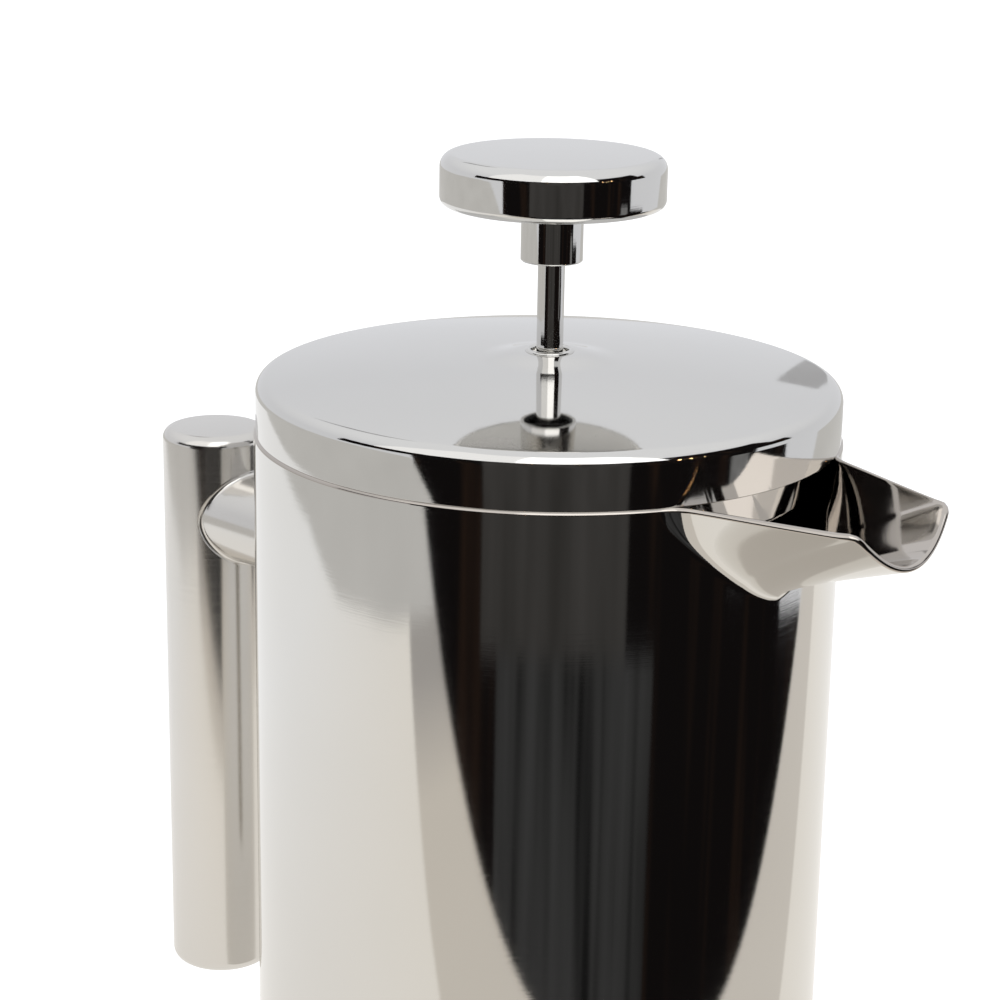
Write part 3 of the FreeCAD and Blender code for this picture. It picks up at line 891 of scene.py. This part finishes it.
def add_reflected_table():
    """What the steel mirrors below it: the sheet the pot stands on, its edge and the table."""
    grey = glow("table_grey", (0.3, tint(0.61, 0.60, 0.58)), (0.7, tint(0.67, 0.66, 0.64)))
    table_sides = (-TABLE_HALF, TABLE_HALF)
    level_band("table_card", table_sides, lambda across: -TABLE_HALF, white_edge, TABLE_Z, grey)
    tones = [(0.0, tint(0.99, 0.99, 0.99)), (1.0, tint(0.95, 0.90, 0.82))]
    white = across_shades("sheet_white", "X", SHEET_FADE, tones)
    level_band("sheet_card", SHEET_SIDES, sheet_back, white_edge, SHEET_Z, white)
    tones = [
        (0.06, tint(0.44, 0.42, 0.40)),
        (0.18, tint(0.72, 0.67, 0.60)),
        (1.0, tint(0.74, 0.70, 0.65)),
    ]
    rim = across_shades("sheet_rim", "Y", STRIP_FADE, tones)
    level_band("strip_card", SHEET_SIDES, strip_edge, white_edge, STRIP_Z, rim)


def card_shades():
    """The materials of the upright cards."""
    black = tint(0.006, 0.005, 0.005)
    brown = tint(0.022, 0.013, 0.009)
    white = ((0.3, tint(1, 1, 1)), (0.7, tint(1, 1, 1)))
    shades = {
        "room": glow(
            "dark_room",
            (0.35, black),
            (0.75, brown),
            stretch=(1, 1, 0.15),
            scale=4,
            middle=[(0.55, black)],
        ),
        "cloth": glow(
            "dark_cloth",
            (0.35, tint(0.010, 0.010, 0.010)),
            (0.7, tint(0.052, 0.052, 0.053)),
            stretch=(1, 1, 0.12),
            scale=14,
            middle=[(0.5, tint(0.036, 0.036, 0.036))],
        ),
        "smooth": glow(
            "grey_cloth",
            (0.3, tint(0.036, 0.034, 0.032)),
            (0.7, tint(0.062, 0.059, 0.057)),
            stretch=(1, 1, 0.3),
            scale=9,
        ),
        "pale": glow(
            "pale_thing", (0.3, tint(0.12, 0.12, 0.12)), (0.7, tint(0.24, 0.24, 0.24)), scale=30
        ),
        "dim": glow("dim_card", (0.3, tint(0.36, 0.36, 0.37)), (0.7, tint(0.5, 0.5, 0.51))),
        "lamp": glow(
            "lamp", (0.3, tint(1.0, 0.55, 0.25)), (0.7, tint(1.0, 0.6, 0.3)), strength=LAMP_GLOW
        ),
    }
    for _, name, _, brightness in WINDOWS:
        shades[name] = glow(name, *white, strength=brightness)
    return shades


def add_room():
    """The dark side in front of the spout with what stands in it, the windows and the lamps."""
    shades = card_shades()
    for shade, name, azimuths, radius, heights in UPRIGHT_CARDS:
        upright(name, azimuths, radius, heights, shades[shade])
    for name, shade, azimuths, _ in WINDOWS:
        dome_patch(name, azimuths, WINDOW_ELEVATIONS, ROOM_R, shades[shade])
    for azimuth, up in LAMPS:
        turn = (azimuth, azimuth + LAMP_DEG)
        upright(f"lamp_{azimuth:g}", turn, LAMP_R, (up, up + LAMP_H), shades["lamp"], steps=2)


def add_world():
    """Soft light, a little brighter overhead."""
    world = bpy.data.worlds.new("studio")
    bpy.context.scene.world = world
    world.use_nodes = True
    tree = world.node_tree
    place = tree.nodes.new("ShaderNodeTexCoord")
    split = tree.nodes.new("ShaderNodeSeparateXYZ")
    ramp = tree.nodes.new("ShaderNodeValToRGB")
    elements = ramp.color_ramp.elements
    elements[0].position, elements[0].color = LEVEL_LIGHT
    elements[1].position, elements[1].color = OVERHEAD_LIGHT
    tree.links.new(place.outputs["Generated"], split.inputs["Vector"])
    tree.links.new(split.outputs["Z"], ramp.inputs["Fac"])
    background = tree.nodes["Background"]
    tree.links.new(ramp.outputs["Color"], background.inputs["Color"])
    background.inputs["Strength"].default_value = LIGHT_STRENGTH


# --- Camera --------------------------------------------------------------------------------------

CAMERA_AT = (0.3155, -0.3478, 0.2963)
CAMERA_AZIMUTH = math.atan2(CAMERA_AT[1], CAMERA_AT[0])
CAMERA_HEADING = math.radians(43.283)
CAMERA_PITCH = math.radians(16.56)
CAMERA_ROLL = math.radians(0.934)
CAMERA_LENS = 93.3
CAMERA_CLIP_END = 100.0


def add_camera():
    camera = bpy.data.objects.new("camera", bpy.data.cameras.new("camera"))
    camera.data.lens = CAMERA_LENS
    camera.data.clip_end = CAMERA_CLIP_END
    camera.matrix_world = (
        Matrix.Translation(CAMERA_AT)
        @ Matrix.Rotation(CAMERA_HEADING, 4, "Z")
        @ Matrix.Rotation(math.pi / 2 - CAMERA_PITCH, 4, "X")
        @ Matrix.Rotation(CAMERA_ROLL, 4, "Z")
    )
    bpy.context.scene.collection.objects.link(camera)
    bpy.context.scene.camera = camera


add_camera()
add_world()
add_floor()
add_reflected_table()
add_room()
bpy.context.scene.view_settings.view_transform = "Standard"
